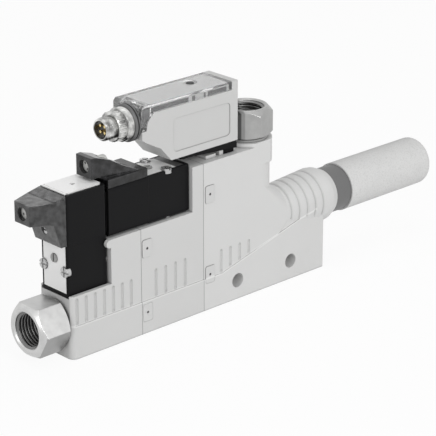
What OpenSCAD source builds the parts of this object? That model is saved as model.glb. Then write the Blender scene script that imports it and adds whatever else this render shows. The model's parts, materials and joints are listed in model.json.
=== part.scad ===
// Inline vacuum ejector with two solenoid valves, a pressure sensor and an open silencer.
// X runs from the supply port to the silencer, Z is up, and the middle plane is Y = 0.
// The origin lies on the flat underside, under the left end of the first valve base.

/* [Body] */
// Width of the three body modules
body_w = 18; // [17.6:0.2:22]
// Length of the first valve base
base_1_l = 32; // [31:0.5:38]
// Length of the ejector housing along its underside
housing_l = 61.8; // [61.8:0.5:71]
// Height of the low step that the first valve stands over
step_z = 22.5; // [21.7:0.2:23.5]
// Height of the side rails beside the first valve
rail_h = 1; // [0.6:0.1:1.6]
// Height of the deck under the second valve
deck_z = 39.9; // [39.1:0.1:41.1]
// Height of the tower that carries the sensor and the vacuum port
tower_z = 56.8; // [54.8:0.5:60.8]
// Height of the ledge along the body's sides
ledge_z = 12.4; // [11.8:0.1:12.8]
// Depth of the ledge
ledge_t = 0.25; // [0.2:0.05:0.4]
// Length of the second valve base's tall wall
wall_l = 5.3; // [5:0.1:8]
// Radius of the upright edges at the supply end
edge_r = 2.5; // [1:0.25:3]
// Height of the nozzle axis
axis_z = 26.1; // [25:0.1:26.5]
// Radius of the bore that holds the nozzles
chamber_r = 6.8; // [6.4:0.1:7]
// Height of the supply port axis
supply_z = 12.3; // [11:0.1:13]
// Distance of the vacuum port axis from the housing's left face
vacuum_dx = 29.4; // [28.4:0.1:31]
// Height of the round boss over the tower
boss_h = 1.5; // [1:0.25:2.5]
// Radius of the round boss at the vacuum port
boss_r = 9.6; // [9.4:0.1:10]

/* [Exhaust horn] */
// Radius of the horn where it leaves the body
horn_root_r = 9.2; // [8.8:0.1:9.4]
// Radius of the horn at its grooved end
horn_end_r = 10.65; // [10.3:0.05:10.9]
// Length of the grooved cone from its root
horn_l = 21.5; // [20.5:0.5:24]
// Length of the tapered lip at the horn's mouth
horn_lip_l = 5.2; // [4:0.1:8]
// Distance of the horn's root from the vacuum port axis
horn_root_dx = 13.3; // [12:0.1:14.5]
// Number of ring grooves
ring_count = 5; // [3:1:5]
// Pitch of the ring grooves
ring_pitch = 4; // [3.8:0.1:4.6]
// Width of a ring groove
ring_w = 1; // [0.6:0.1:1.4]
// Depth of a ring groove
ring_depth = 0.5; // [0.3:0.05:0.7]

/* [Mounting holes] */
// Diameter of the two cross holes
hole_d = 5.5; // [4.3:0.1:5.7]
// Height of the cross holes
hole_z = 7.3; // [5:0.1:8]
// Distance of the first cross hole from the housing's left face
hole_dx = 16.9; // [14:0.1:20]
// Distance between the two cross holes
hole_pitch = 27.4; // [24:0.2:30]

/* [Grip flutes] */
// Width of a flute
flute_w = 1.4; // [0.8:0.1:1.6]
// Depth of a flute
flute_depth = 0.55; // [0.2:0.05:0.7]
// Lowest point of the flutes
flute_z = 13.3; // [13:0.1:14]
// Length of the flutes
flute_l = 8.6; // [7:0.2:9]
// Pitch of the flutes on the first base
flute_pitch_1 = 4.1; // [3:0.1:4.2]
// Pitch of the flutes on the other modules
flute_pitch_2 = 4.65; // [4:0.05:4.8]

/* [Ports] */
// Width across the flats of the vacuum fitting
hex_af = 17; // [16:0.5:18]
// Width across the flats of the supply fitting
supply_af = 18; // [17:0.5:19]
// Length of the supply fitting's hexagon
supply_hex_l = 12.2; // [12:0.2:15]
// Height of the vacuum fitting's hexagon
vacuum_hex_l = 11.2; // [9:0.2:13]
// Outside radius of the ports' thread
port_r = 6.58; // [6.3:0.02:6.6]
// Thickness of metal left under the ports' thread
port_floor = 1.2; // [1:0.1:1.6]
// Radius of the fittings' shanks
shank_r = 6.8; // [6.6:0.1:7.2]
// Length of the fittings' shanks inside the body
shank_l = 8; // [6:0.5:9]
// Radius of the air way through the fittings
air_r = 3.6; // [2.5:0.1:4]
// Thickness of the port seals
port_seal_t = 0.8; // [0.5:0.1:1.2]
// Turn of the vacuum fitting's hexagon when tight
vacuum_turn = 48; // [0:1:60]

/* [Silencer] */
// Radius of the dark collar ring
collar_r = 8.9; // [8.5:0.1:9.1]
// Length of the collar ring outside the horn
collar_l = 8; // [5:0.2:9]
// Radius of the porous silencer
silencer_r = 9.4; // [9.2:0.05:9.8]
// Length of the porous silencer
silencer_l = 45.8; // [35:0.5:60]
// Wall of the porous silencer
silencer_wall = 2.6; // [2:0.1:3.5]
// Radius of the silencer's rounded end
silencer_end_r = 2.4; // [1.5:0.1:2.5]

/* [Valves] */
// Width of the valve bodies
valve_w = 14; // [13:0.2:14]
// Gap between the first valve and the second valve's coil
valve_gap = 1.1; // [1:0.1:1.8]
// Depth of the valves from their outer face to the gasket
valve_depth = 17.5; // [17:0.1:17.6]
// Length of the valve body under the coil
valve_body_l = 19; // [18.4:0.1:19]
// Length of the coil
coil_l = 18.4; // [17.8:0.1:18.4]
// How far the coil stands out on each side of the valve body
coil_step = 0.2; // [0.1:0.05:0.3]
// Thickness of the gasket behind each valve
gasket_t = 0.5; // [0.4:0.05:0.6]
// Thickness of the end plate
plate_t = 0.8; // [0.6:0.1:1]
// Thickness of the cap on each coil
cap_t = 0.5; // [0.4:0.05:0.6]
// Radius of the manual override's head
override_r = 1.6; // [1.2:0.05:1.8]
// Travel of the manual override
override_travel = 1.2; // [0.8:0.1:1.4]
// Height of the manual override over the valve's foot
override_z = 13.1; // [12.5:0.1:14.5]
// Radius of the valve screws' heads
screw_head_r = 1.9; // [1.5:0.05:2]
// Height of the valve screws over the valve's foot
screw_z = 9.4; // [8.5:0.1:9.6]
// Radius of the armature
armature_r = 3; // [2.5:0.1:3.2]
// Travel of the armature
armature_travel = 1; // [0.6:0.1:1.2]

/* [Plugs] */
// Width of the plugs at the coil
plug_w = 14; // [12:0.2:14]
// Width of the plugs' noses
plug_nose_w = 8; // [7.2:0.1:9]
// Reach of the first plug's nose from the coil
plug_reach = 13.2; // [11:0.2:14]
// Height of the plugs' noses
plug_nose_h = 7.4; // [7:0.1:7.6]
// Reach of the second plug's nose over the end of its coil
plug_over = 4.6; // [3:0.2:7]
// Clearance between the second plug's nose and the first valve's cap
plug_clear = 1.1; // [0.8:0.1:1.6]
// Radius of the cable entry
cable_r = 2.4; // [1.8:0.1:2.6]

/* [Sensor] */
// Width of the sensor
sensor_w = 15; // [14.6:0.2:17]
// Length of the sensor
sensor_l = 45.4; // [44:0.2:48]
// Height of the sensor
sensor_h = 22.5; // [21:0.5:24]
// Gap between the tower and the sensor, which the foot fills
sensor_gap = 4.6; // [4.2:0.1:6]
// Height of the clear cover's front over the housing
cover_h = 3.2; // [2.6:0.1:4]
// Wall of the clear cover
cover_wall = 1; // [0.8:0.1:1.2]
// Height of the display behind the cover's front
display_h = 1.6; // [1:0.1:1.8]
// Thickness of the foot's plate under the sensor
foot_plate_t = 1.1; // [0.8:0.1:1.6]
// Length of the foot's leg
leg_l = 5.4; // [4:0.2:6]
// Radius of the setting button
button_r = 1.4; // [1:0.1:1.6]
// Travel of the setting button
button_travel = 0.6; // [0.4:0.1:0.8]
// Radius of the round plug connector's thread
connector_r = 4; // [3.5:0.1:4.2]
// Length of the round plug connector's thread
thread_l = 4.4; // [4:0.2:8]
// Radius of the connector's knurled collar
knurl_r = 5.4; // [5:0.1:5.8]
// Length of the connector's knurled collar
knurl_l = 3.5; // [2.5:0.1:4]
// Radius of the connector's flange
flange_r = 6.8; // [6.4:0.1:6.8]

/* [Hidden] */
$fn = 64;
hull_fn = 48;
eps = 0.01;
cut = 1;
run_gap = 0.06;
seat_gap = 0.2;

body_grey = [0.80, 0.80, 0.79];
metal_grey = [0.62, 0.63, 0.64];
valve_black = [0.10, 0.10, 0.11];
smoke = [0.25, 0.25, 0.26, 0.75];

// valve places: the first stands up against the step, the second lies on the deck
valve_l = valve_body_l + coil_l;
valve_1_x = 0.3;
valve_1_z = step_z + seat_gap;
high_x = valve_1_x + valve_depth + gasket_t;
valve_2_x = valve_1_x + valve_depth + valve_gap + valve_l;
valve_2_z = deck_z + gasket_t + valve_depth;

// places along the body
joint_1_x = base_1_l;
wall_x = valve_2_x + seat_gap;
joint_2_x = wall_x + wall_l;
body_end_x = joint_2_x + housing_l;
vacuum_x = joint_2_x + vacuum_dx;
hole_x = joint_2_x + hole_dx;
horn_root_x = vacuum_x + horn_root_dx;
horn_tip_x = horn_root_x + horn_l;
horn_end_x = horn_tip_x + horn_lip_l;
horn_mouth_r = collar_r + 0.15;
ring_x = horn_root_x + 1.7;
hex_r = hex_af / sqrt(3);
hex_chamfer = 2.2;
supply_chamfer = 1.7;
mouth_t = 0.5;
boss_z = tower_z + boss_h;
boss_drop = 7.3;
half_w = body_w / 2;
upper_w = body_w - 2 * ledge_t;
ledge_end_x = joint_2_x + 9.2;

// places on a valve, measured from its outer face and its foot
valve_mid = valve_depth / 2;
rim_w = 0.9;
rim_foot = 1.3;
plate_sink = 0.1;
screw_y = valve_w / 2 - 1.3;
screw_shaft_r = 1;
screw_bite = 6;
head_seat = 1.2;
armature_seat_z = 11.6;
armature_l = 17;
armature_mid = valve_depth - armature_r - 3.4;
plug_screw_z = valve_body_l + 5.2;
plug_screw_r = 1.3;
plug_seam = 0.3;
plug_foot_t = 2.4;
plug_drop = 1.1;
plug_mid_t = 5.2;
plug_lie_t = 3.2;
entry_l = 9;
insert_sink = 1.6;
cap_top_z = valve_1_z + valve_l + cap_t;
nose_floor_u = cap_top_z + plug_clear - valve_2_z;
nose_u = nose_floor_u + plug_nose_h;

// sensor places
sensor_z = tower_z + sensor_gap;
sensor_top_z = sensor_z + sensor_h;
sensor_end_x = vacuum_x - hex_r - 1.6;
sensor_x = sensor_end_x - sensor_l;
sensor_half = sensor_w / 2;
cover_z = sensor_top_z - cover_h;
cover_end_x = sensor_end_x - 2.8;
cover_roof_z = sensor_top_z - cover_wall;
connector_y = -0.5;
connector_z = sensor_top_z - 6.9;
flange_t = 2.3;
hub_l = 2.7;
hub_r = knurl_r + 0.7;
flange_x = sensor_x - flange_t;
hub_x = flange_x - hub_l;
knurl_x = hub_x - knurl_l;
connector_tip_x = knurl_x - thread_l;
connector_wall = 0.8;
knurl_count = 24;
sleeve_depth = 4.4;
pin_circle_r = 1.6;
pin_r = 0.5;
button_x = sensor_x + 31;
button_y = 2;
button_l = 2.6;
button_rim = 0.5;
button_dish = 0.4;
board_t = 1.6;
board_inset = 1.8;
room_wall = 1.6;
label_sink = 0.3;
label_h = 12.4;
foot_l = 27;
foot_w = sensor_w - 0.3;
leg_w = 12;

// ---- shared shapes ----

// a rectangle from corner to corner with round corners
module round_rect(size, r) {
    translate([r, 0]) square([size.x - 2 * r, size.y]);
    translate([0, r]) square([size.x, size.y - 2 * r]);
    for (x = [r, size.x - r])
        for (y = [r, size.y - r])
            translate([x, y]) circle(r);
}

// a block centred on Y with round edges along Z
module round_block(size, r) {
    translate([0, -size.y / 2, 0])
        linear_extrude(size.z)
            round_rect([size.x, size.y], r);
}

// a side outline in X and Z, drawn out to a width about the middle plane
module side_profile(points, width) {
    translate([0, width / 2, 0])
        rotate([90, 0, 0])
            linear_extrude(width)
                polygon(points);
}

// a cylinder along X
module rod_x(r, x1, x2) {
    translate([x1, 0, 0])
        rotate([0, 90, 0])
            cylinder(r = r, h = x2 - x1);
}

// a turned piece along X from an outline of radius and length
module turned_x(points) {
    rotate([0, 90, 0])
        rotate_extrude()
            polygon(points);
}

// a hexagonal rod along Z with both ends chamfered
module hex_rod(af, length, nose, foot) {
    face_r = af / 2 - 0.7;
    reach = af / sqrt(3) - face_r;
    intersection() {
        rotate([0, 0, 30])
            cylinder(r = af / sqrt(3), h = length, $fn = 6);
        rotate_extrude()
            polygon([
                [0, 0], [face_r + reach - foot, 0], [face_r + reach, foot * 0.577],
                [face_r + reach, length - nose], [face_r, length], [0, length]
            ]);
    }
}

// upright grip flutes on both sides of a module, each with its foot higher than the last one's
module flutes(x, count, pitch, length, rise) {
    for (side = [-1, 1])
        for (i = [0 : count - 1])
            translate([x + i * pitch, side * ((upper_w + flute_w) / 2 - flute_depth), flute_z + i * rise])
                union() {
                    cylinder(r = flute_w / 2, h = length - i * rise);
                    translate([0, 0, length - i * rise]) sphere(flute_w / 2);
                    sphere(flute_w / 2);
                }
}

clip_l = 4.4;
clip_h = 6.6;
clip_t = 1;
clip_r = 0.8;
// places of the four snap clips on one side of the body
clip_places = [
    [joint_1_x + 0.5, deck_z - 10.9], [joint_1_x + 0.5, 4.6],
    [joint_2_x + 0.9, deck_z + 1.5], [joint_2_x + 0.9, 10.4]
];
module clip_solids() {
    for (side = [-1, 1])
        for (p = clip_places)
            translate([p.x, side > 0 ? half_w - clip_t : -half_w, p.y])
                rotate([90, 0, 0])
                    translate([0, 0, -clip_t])
                        linear_extrude(clip_t)
                            round_rect([clip_l, clip_h], clip_r);
}
module clip_pockets() {
    for (side = [-1, 1])
        for (p = clip_places)
            translate([p.x - run_gap, side > 0 ? half_w - clip_t : -half_w - cut, p.y - run_gap])
                rotate([90, 0, 0])
                    translate([0, 0, -clip_t - cut])
                        linear_extrude(clip_t + cut)
                            round_rect([clip_l + 2 * run_gap, clip_h + 2 * run_gap], clip_r);
}

// ---- body modules ----

module valve_base_1() {
    color(body_grey)
        difference() {
            union() {
                intersection() {
                    union() {
                        side_profile([
                            [0, 0], [joint_1_x, 0], [joint_1_x, ledge_z], [0, ledge_z]
                        ], body_w);
                        side_profile([
                            [ledge_t, 0], [joint_1_x, 0], [joint_1_x, deck_z],
                            [high_x, deck_z], [high_x, step_z + rail_h], [ledge_t, step_z + rail_h]
                        ], upper_w);
                    }
                    round_block([joint_1_x + edge_r, body_w, deck_z], edge_r);
                }
                for (side = [-1, 1])
                    translate([high_x - 0.4, side * upper_w / 2, deck_z - 1.5])
                        rotate([side * 90, 0, 0])
                            cylinder(r = 1.5, h = (upper_w - valve_w) / 2 - 0.3);
            }
            translate([-cut, -valve_w / 2 - 0.3, step_z])
                cube([high_x + cut, valve_w + 0.6, rail_h + cut]);
            translate([0, 0, supply_z])
                rod_x(shank_r + run_gap, -cut, shank_l + 0.5);
            translate([0, 0, supply_z])
                rod_x(air_r, 0, joint_1_x - 5);
            valve_1_place() screw_holes();
            flutes(2.6, 7, flute_pitch_1, flute_l, 0);
            clip_pockets();
        }
}

module valve_base_2() {
    color(body_grey)
        difference() {
            union() {
                side_profile([
                    [joint_1_x, 0], [joint_2_x, 0], [joint_2_x, ledge_z], [joint_1_x, ledge_z]
                ], body_w);
                side_profile([
                    [joint_1_x, 0], [joint_2_x, 0], [joint_2_x, tower_z],
                    [wall_x, tower_z], [wall_x, deck_z], [joint_1_x, deck_z]
                ], upper_w);
            }
            valve_2_place() screw_holes();
            translate([0, 0, axis_z])
                rod_x(air_r, joint_2_x - 8, joint_2_x + cut);
            flutes(joint_1_x + 6.8, 4, flute_pitch_2, flute_l + 0.8, 0);
            clip_pockets();
        }
}

// the tower, round about the vacuum port
module tower() {
    translate([0, 0, ledge_z - 1])
        linear_extrude(tower_z - ledge_z + 1)
            union() {
                translate([joint_2_x, -upper_w / 2]) square([vacuum_dx, upper_w]);
                translate([vacuum_x, 0]) circle(upper_w / 2);
            }
    intersection() {
        translate([vacuum_x, 0, boss_z - boss_drop - boss_h])
            cylinder(r = boss_r, h = boss_drop + boss_h);
        translate([joint_2_x, -upper_w / 2, 0])
            cube([housing_l, upper_w, boss_z]);
    }
}

// a rib and a pad on the tower, under the sensor
rib_w = 1.8;
pad_l = 4.8;
pad_h = 1.3;
module sensor_rests() {
    rib_x = sensor_end_x - leg_l - rib_w - 0.4;
    translate([rib_x, -leg_w / 2, tower_z - eps])
        cube([rib_w, leg_w, sensor_gap - foot_plate_t + eps]);
    translate([rib_x - pad_l - rib_w, -leg_w / 2, tower_z - eps])
        cube([pad_l, leg_w, pad_h + eps]);
}

// the flat lower plate with its slanted upper edge
module lower_plate() {
    side_profile([
        [joint_2_x, 0], [body_end_x, 0], [body_end_x, axis_z - 1.4],
        [body_end_x - 2.2, axis_z - 0.4], [ledge_end_x, ledge_z], [joint_2_x, ledge_z]
    ], body_w);
}

// the grooved horn that carries the silencer
module horn() {
    translate([0, 0, axis_z])
        difference() {
            turned_x([
                [0, horn_root_x], [horn_root_r, horn_root_x], [horn_end_r, horn_tip_x],
                [horn_end_r - 0.25, horn_tip_x + horn_lip_l * 0.4],
                [horn_mouth_r, horn_end_x], [0, horn_end_x]
            ]);
            for (i = [0 : ring_count - 1])
                ring_groove(ring_x + i * ring_pitch);
        }
}
module ring_groove(x) {
    slope = (horn_end_r - horn_root_r) / horn_l;
    floor_r = horn_root_r + slope * (x - horn_root_x) - ring_depth;
    turned_x([
        [floor_r, x - ring_w / 4], [floor_r, x + ring_w / 4],
        [floor_r + ring_depth + cut, x + ring_w / 2 + cut],
        [floor_r + ring_depth + cut, x - ring_w / 2 - cut]
    ]);
}

// the blend from the tower's flat sides to the round horn
shoulder_h = 15.5;
module shoulder() {
    hull() {
        translate([vacuum_x - 7, -upper_w / 2, ledge_z])
            cube([7, upper_w, axis_z + shoulder_h - ledge_z]);
        translate([0, 0, axis_z])
            rod_x(horn_root_r, horn_root_x, horn_root_x + 0.1, $fn = hull_fn);
    }
}

module ejector_housing() {
    color(body_grey)
        difference() {
            union() {
                tower();
                sensor_rests();
                lower_plate();
                shoulder();
                horn();
            }
            translate([0, 0, axis_z])
                rod_x(chamber_r, joint_2_x - cut, collar_neck_x);
            translate([0, 0, axis_z])
                rod_x(collar_neck_r + run_gap, collar_neck_x - eps, horn_end_x + cut);
            translate([vacuum_x, 0, axis_z])
                cylinder(r = air_r, h = tower_z);
            translate([vacuum_x, 0, boss_z - shank_l - 0.5])
                cylinder(r = shank_r + run_gap, h = shank_l + 0.5 + cut);
            for (i = [0, 1])
                translate([hole_x + i * hole_pitch, half_w + cut, hole_z])
                    rotate([90, 0, 0])
                        cylinder(r = hole_d / 2, h = body_w + 2 * cut);
            flutes(joint_2_x + 8.7, 4, flute_pitch_2, flute_l - 0.7, 1.2);
            clip_pockets();
        }
}

module module_clips() {
    color(body_grey)
        difference() {
            clip_solids();
            for (p = clip_places)
                translate([p.x + clip_l / 2, 0, p.y + clip_h / 2])
                    rotate([90, 0, 0])
                        cylinder(r = 0.5, h = body_w + 2 * cut, center = true);
        }
}

// ---- ports ----

module supply_port() {
    color(metal_grey)
        translate([-port_seal_t, 0, supply_z])
            rotate([0, -90, 0])
                port_fitting(supply_hex_l, supply_af, supply_chamfer);
}

module vacuum_port() {
    color(metal_grey)
        translate([vacuum_x, 0, boss_z + port_seal_t])
            rotate([0, 0, vacuum_turn])
                port_fitting(vacuum_hex_l, hex_af, hex_chamfer);
}

// a port fitting that stands on its sealing face, with its shank below
module port_fitting(length, af, chamfer) {
    difference() {
        union() {
            hex_rod(af, length, chamfer, chamfer);
            translate([0, 0, -shank_l - port_seal_t])
                cylinder(r = shank_r, h = shank_l + port_seal_t + eps);
        }
        translate([0, 0, port_floor])
            cylinder(r = port_r, h = length);
        translate([0, 0, length - mouth_t])
            cylinder(r1 = port_r, r2 = port_r + mouth_t + eps, h = mouth_t + eps);
        translate([0, 0, -shank_l - port_seal_t - cut])
            cylinder(r = air_r, h = length + shank_l);
    }
}

// a flat seal ring round a shank
module port_seal() {
    difference() {
        cylinder(r = shank_r + 1.1, h = port_seal_t);
        translate([0, 0, -cut])
            cylinder(r = shank_r + run_gap, h = port_seal_t + 2 * cut);
    }
}

module supply_seal() {
    color([0.12, 0.12, 0.12])
        translate([0, 0, supply_z])
            rotate([0, -90, 0])
                port_seal();
}

module vacuum_seal() {
    color([0.12, 0.12, 0.12])
        translate([vacuum_x, 0, boss_z])
            port_seal();
}

// ---- nozzles and silencer ----

nozzle_fit_r = chamber_r - run_gap;
groove_r = nozzle_fit_r - 1.2;
jet_x = joint_2_x + 0.2;
jet_l = 14;
jet_throat_r = 0.7;
receiver_x = vacuum_x - 6.5;
receiver_throat_r = 1.3;
collar_neck_x = horn_tip_x - 1.5;
collar_neck_r = 7.3;
receiver_end_x = collar_neck_x - 0.1;
seal_w = 1.6;
jet_seal_x = jet_x + 2;
receiver_seal_x = receiver_x + 17;

module jet_nozzle() {
    color([0.75, 0.66, 0.38])
        translate([0, 0, axis_z])
            difference() {
                turned_x([
                    [0, jet_x], [nozzle_fit_r, jet_x], [nozzle_fit_r, jet_seal_x],
                    [groove_r, jet_seal_x], [groove_r, jet_seal_x + seal_w],
                    [nozzle_fit_r, jet_seal_x + seal_w], [nozzle_fit_r, jet_x + 7],
                    [3.2, jet_x + 9], [2.2, jet_x + jet_l], [0, jet_x + jet_l]
                ]);
                turned_x([
                    [0, jet_x - cut], [3, jet_x - cut], [3, jet_x + 5], [jet_throat_r, jet_x + 9],
                    [jet_throat_r + 0.5, jet_x + jet_l + cut], [0, jet_x + jet_l + cut]
                ]);
            }
}

module receiver_nozzle() {
    color([0.90, 0.90, 0.88])
        translate([0, 0, axis_z])
            difference() {
                turned_x([
                    [0, receiver_x], [3.4, receiver_x], [3.4, receiver_x + 12],
                    [nozzle_fit_r, receiver_x + 14], [nozzle_fit_r, receiver_seal_x],
                    [groove_r, receiver_seal_x], [groove_r, receiver_seal_x + seal_w],
                    [nozzle_fit_r, receiver_seal_x + seal_w], [nozzle_fit_r, receiver_end_x],
                    [0, receiver_end_x]
                ]);
                turned_x([
                    [0, receiver_x - cut], [2.6, receiver_x - cut], [receiver_throat_r, receiver_x + 3],
                    [receiver_throat_r, receiver_x + 12], [3.6, receiver_end_x + cut],
                    [0, receiver_end_x + cut]
                ]);
            }
}

// the two seal rings in the nozzles' grooves
module nozzle_seals() {
    color([0.12, 0.12, 0.12])
        translate([0, 0, axis_z])
            for (x = [jet_seal_x, receiver_seal_x])
                translate([x, 0, 0])
                    difference() {
                        rod_x(nozzle_fit_r + run_gap / 2, 0.1, seal_w - 0.1);
                        rod_x(groove_r + run_gap / 2, -cut, seal_w + cut);
                    }
}

spigot_l = 4;
module silencer_collar() {
    color([0.42, 0.42, 0.43])
        translate([0, 0, axis_z])
            difference() {
                union() {
                    rod_x(collar_neck_r, collar_neck_x + 0.1, horn_end_x + eps);
                    rod_x(collar_r, horn_end_x, horn_end_x + collar_l);
                }
                rod_x(5, collar_neck_x - cut, horn_end_x + collar_l + cut);
                rod_x(collar_neck_r - 0.8, horn_end_x + collar_l - spigot_l, horn_end_x + collar_l + cut);
            }
}

module silencer() {
    start_x = horn_end_x + collar_l;
    end_x = start_x + silencer_l;
    inner_r = silencer_r - silencer_wall;
    color([0.84, 0.84, 0.83])
        translate([0, 0, axis_z])
            difference() {
                union() {
                    rod_x(silencer_r, start_x, end_x - silencer_end_r);
                    rod_x(silencer_r - silencer_end_r, start_x, end_x);
                    translate([end_x - silencer_end_r, 0, 0])
                        rotate([0, 90, 0])
                            rotate_extrude()
                                translate([silencer_r - silencer_end_r, 0])
                                    circle(silencer_end_r);
                    rod_x(collar_neck_r - 0.8 - run_gap, start_x - spigot_l + 0.2, start_x + eps);
                }
                rod_x(min(inner_r, collar_neck_r - 2), start_x - spigot_l - cut, end_x - silencer_wall);
            }
}

// ---- valves, drawn standing on their foot with the end plate towards -X ----

module valve_1_place() {
    translate([valve_1_x, 0, valve_1_z]) children();
}

// the second valve lies with its coil towards -X and its end plate up
module valve_2_place() {
    translate([valve_2_x, 0, valve_2_z])
        rotate([0, -90, 0])
            rotate([0, 0, 180])
                children();
}

// the holes that the two valve screws bite into
module screw_holes() {
    for (side = [-1, 1])
        translate([0, side * screw_y, screw_z])
            rod_x(screw_shaft_r, valve_depth - cut, valve_depth + gasket_t + screw_bite);
}

module valve_body() {
    difference() {
        round_block([valve_depth, valve_w, valve_body_l], 0.6);
        translate([-cut, -valve_w / 2 + rim_w, rim_foot])
            cube([cut + plate_t + plate_sink, valve_w - 2 * rim_w, valve_body_l - rim_foot + cut]);
        translate([0, 0, override_z])
            rod_x(override_r + 0.6 + run_gap, 0, 4.2 + override_travel);
        translate([armature_mid, 0, armature_seat_z])
            cylinder(r = armature_r + run_gap, h = valve_body_l);
        for (side = [-1, 1])
            translate([0, side * screw_y, screw_z]) {
                rod_x(screw_head_r + 0.15, -cut, head_seat);
                rod_x(screw_shaft_r, 0, valve_depth + cut);
            }
    }
}

module coil() {
    difference() {
        translate([0, 0, valve_body_l])
            round_block([valve_depth, valve_w + 2 * coil_step, coil_l], 1);
        translate([armature_mid, 0, valve_body_l - cut])
            cylinder(r = armature_r + run_gap, h = cut + armature_room_z - valve_body_l);
        translate([valve_mid, 0, valve_l - 1.2])
            cylinder(r = 1.6, h = 1.2 + cut);
    }
}

module end_plate() {
    difference() {
        translate([plate_sink, -valve_w / 2 + rim_w + 0.05, rim_foot + 0.1])
            cube([plate_t, valve_w - 2 * rim_w - 0.1, valve_body_l - rim_foot - 0.2]);
        translate([0, 0, override_z])
            rod_x(override_r + run_gap, -cut, cut);
        for (side = [-1, 1])
            translate([0, side * screw_y, screw_z])
                rod_x(screw_head_r + 0.15, -cut, cut);
    }
}

module override_button() {
    difference() {
        translate([0, 0, override_z])
            union() {
                rod_x(override_r, -0.4, 2);
                rod_x(override_r + 0.6, plate_sink + plate_t + 0.1, 4);
            }
        translate([-0.4 - cut, -0.3, override_z - override_r])
            cube([cut + 0.5, 0.6, 2 * override_r]);
    }
}

module valve_screws() {
    screw_end = valve_depth + gasket_t + screw_bite - 0.5;
    for (side = [-1, 1])
        translate([0, side * screw_y, screw_z])
            difference() {
                union() {
                    rod_x(screw_head_r, -0.6, head_seat);
                    rod_x(screw_shaft_r - 0.05, head_seat - eps, screw_end);
                }
                translate([-0.6 - cut, -screw_head_r, -0.3])
                    cube([cut + 0.6, 2 * screw_head_r, 0.6]);
                translate([-0.6 - cut, -0.3, -screw_head_r])
                    cube([cut + 0.6, 0.6, 2 * screw_head_r]);
            }
}

module gasket() {
    difference() {
        translate([valve_depth, -valve_w / 2 + 0.6, 0.8])
            cube([gasket_t, valve_w - 1.2, valve_body_l - 1.6]);
        for (side = [-1, 1])
            translate([0, side * screw_y, screw_z])
                rod_x(screw_shaft_r + 0.2, valve_depth - cut, valve_depth + gasket_t + cut);
        for (z = [5, 14])
            translate([0, 0, z])
                rod_x(1.5, valve_depth - cut, valve_depth + gasket_t + cut);
    }
}

module coil_cap() {
    difference() {
        translate([1, 0, valve_l])
            round_block([valve_depth - 2, valve_w - 1.6, cap_t], 1.2);
        translate([valve_mid, 0, valve_l - cut])
            cylinder(r = 0.9, h = cap_t + 2 * cut);
    }
}

armature_top_z = armature_seat_z + 0.1 + armature_l;
armature_room_z = armature_top_z + armature_travel + 0.3;
module armature() {
    translate([armature_mid, 0, armature_seat_z + 0.1])
        difference() {
            union() {
                cylinder(r = armature_r - 0.8, h = 2);
                translate([0, 0, 1]) cylinder(r = armature_r, h = armature_l - 1);
            }
            translate([0, 0, armature_l - 4])
                cylinder(r = 1.4, h = 4 + cut);
        }
}

// the plug that stands out from the first coil
module plug_out() {
    nose_z = valve_l - plug_drop - plug_nose_h;
    nose_foot = plug_mid_t + 2;
    difference() {
        intersection() {
            side_profile([
                [0, valve_body_l + plug_seam], [-plug_foot_t, valve_body_l + plug_seam],
                [-plug_mid_t, nose_z - 0.8], [-nose_foot, nose_z - 0.2], [-plug_reach, nose_z],
                [-plug_reach, valve_l - plug_drop], [0, valve_l - plug_drop]
            ], plug_w);
            translate([0, 0, valve_body_l])
                linear_extrude(coil_l)
                    polygon([
                        [0, -plug_w / 2], [0, plug_w / 2], [-plug_mid_t, plug_w / 2],
                        [-plug_reach, plug_nose_w / 2], [-plug_reach, -plug_nose_w / 2],
                        [-plug_mid_t, -plug_w / 2]
                    ]);
        }
        translate([0, 0, nose_z + plug_nose_h / 2])
            rod_x(cable_r, -plug_reach - cut, -plug_reach + entry_l);
        translate([0, 0, plug_screw_z])
            rod_x(plug_screw_r + 0.1, -plug_reach, 0);
    }
}

// the plug that lies along the second coil
module plug_along() {
    end_z = valve_l + plug_over;
    difference() {
        union() {
            side_profile([
                [0, valve_body_l + plug_seam], [-plug_lie_t, valve_body_l + plug_seam],
                [-plug_lie_t, valve_l - 0.2], [0, valve_l - 0.2]
            ], plug_w);
            intersection() {
                side_profile([
                    [-plug_lie_t + eps, valve_body_l + 3.6], [-nose_u * 0.56, valve_body_l + 10.3],
                    [-nose_u * 0.83, valve_body_l + 15.3], [-nose_u, end_z - 2],
                    [-nose_u, end_z], [-nose_floor_u, end_z],
                    [-nose_floor_u, valve_l + valve_gap + 0.6], [-plug_lie_t, valve_l + 0.4], [-plug_lie_t + eps, valve_l - 0.3]
                ], plug_w);
                translate([-nose_u - cut, 0, 0])
                    rotate([0, 90, 0])
                        linear_extrude(nose_u + cut)
                            polygon([
                                [-valve_body_l, -plug_w / 2], [-valve_body_l, plug_w / 2],
                                [-end_z, plug_nose_w / 2], [-end_z, -plug_nose_w / 2]
                            ]);
            }
        }
        translate([-(nose_u + nose_floor_u) / 2, 0, end_z - entry_l])
            cylinder(r = cable_r, h = entry_l + cut);
        translate([0, 0, plug_screw_z])
            rod_x(plug_screw_r + 0.1, -nose_u, 0);
    }
}

// the contact carrier in a plug's cable entry, with three contact holes, along X from its outer end
module plug_insert() {
    insert_r = cable_r - run_gap;
    contact_r = 0.45;
    difference() {
        rod_x(insert_r, insert_sink, entry_l - 0.05);
        for (i = [0 : 2])
            rotate([120 * i, 0, 0])
                translate([0, 0, insert_r * 0.55])
                    rod_x(contact_r, insert_sink - cut, insert_sink + 3);
    }
}

// the plug's screw, with its head at a given distance from the coil
module plug_screw(head_u) {
    translate([0, 0, plug_screw_z])
        difference() {
            rod_x(plug_screw_r, -head_u, -0.05);
            translate([-head_u - cut, -plug_screw_r, -0.25])
                cube([cut + 0.4, 2 * plug_screw_r, 0.5]);
        }
}

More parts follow.
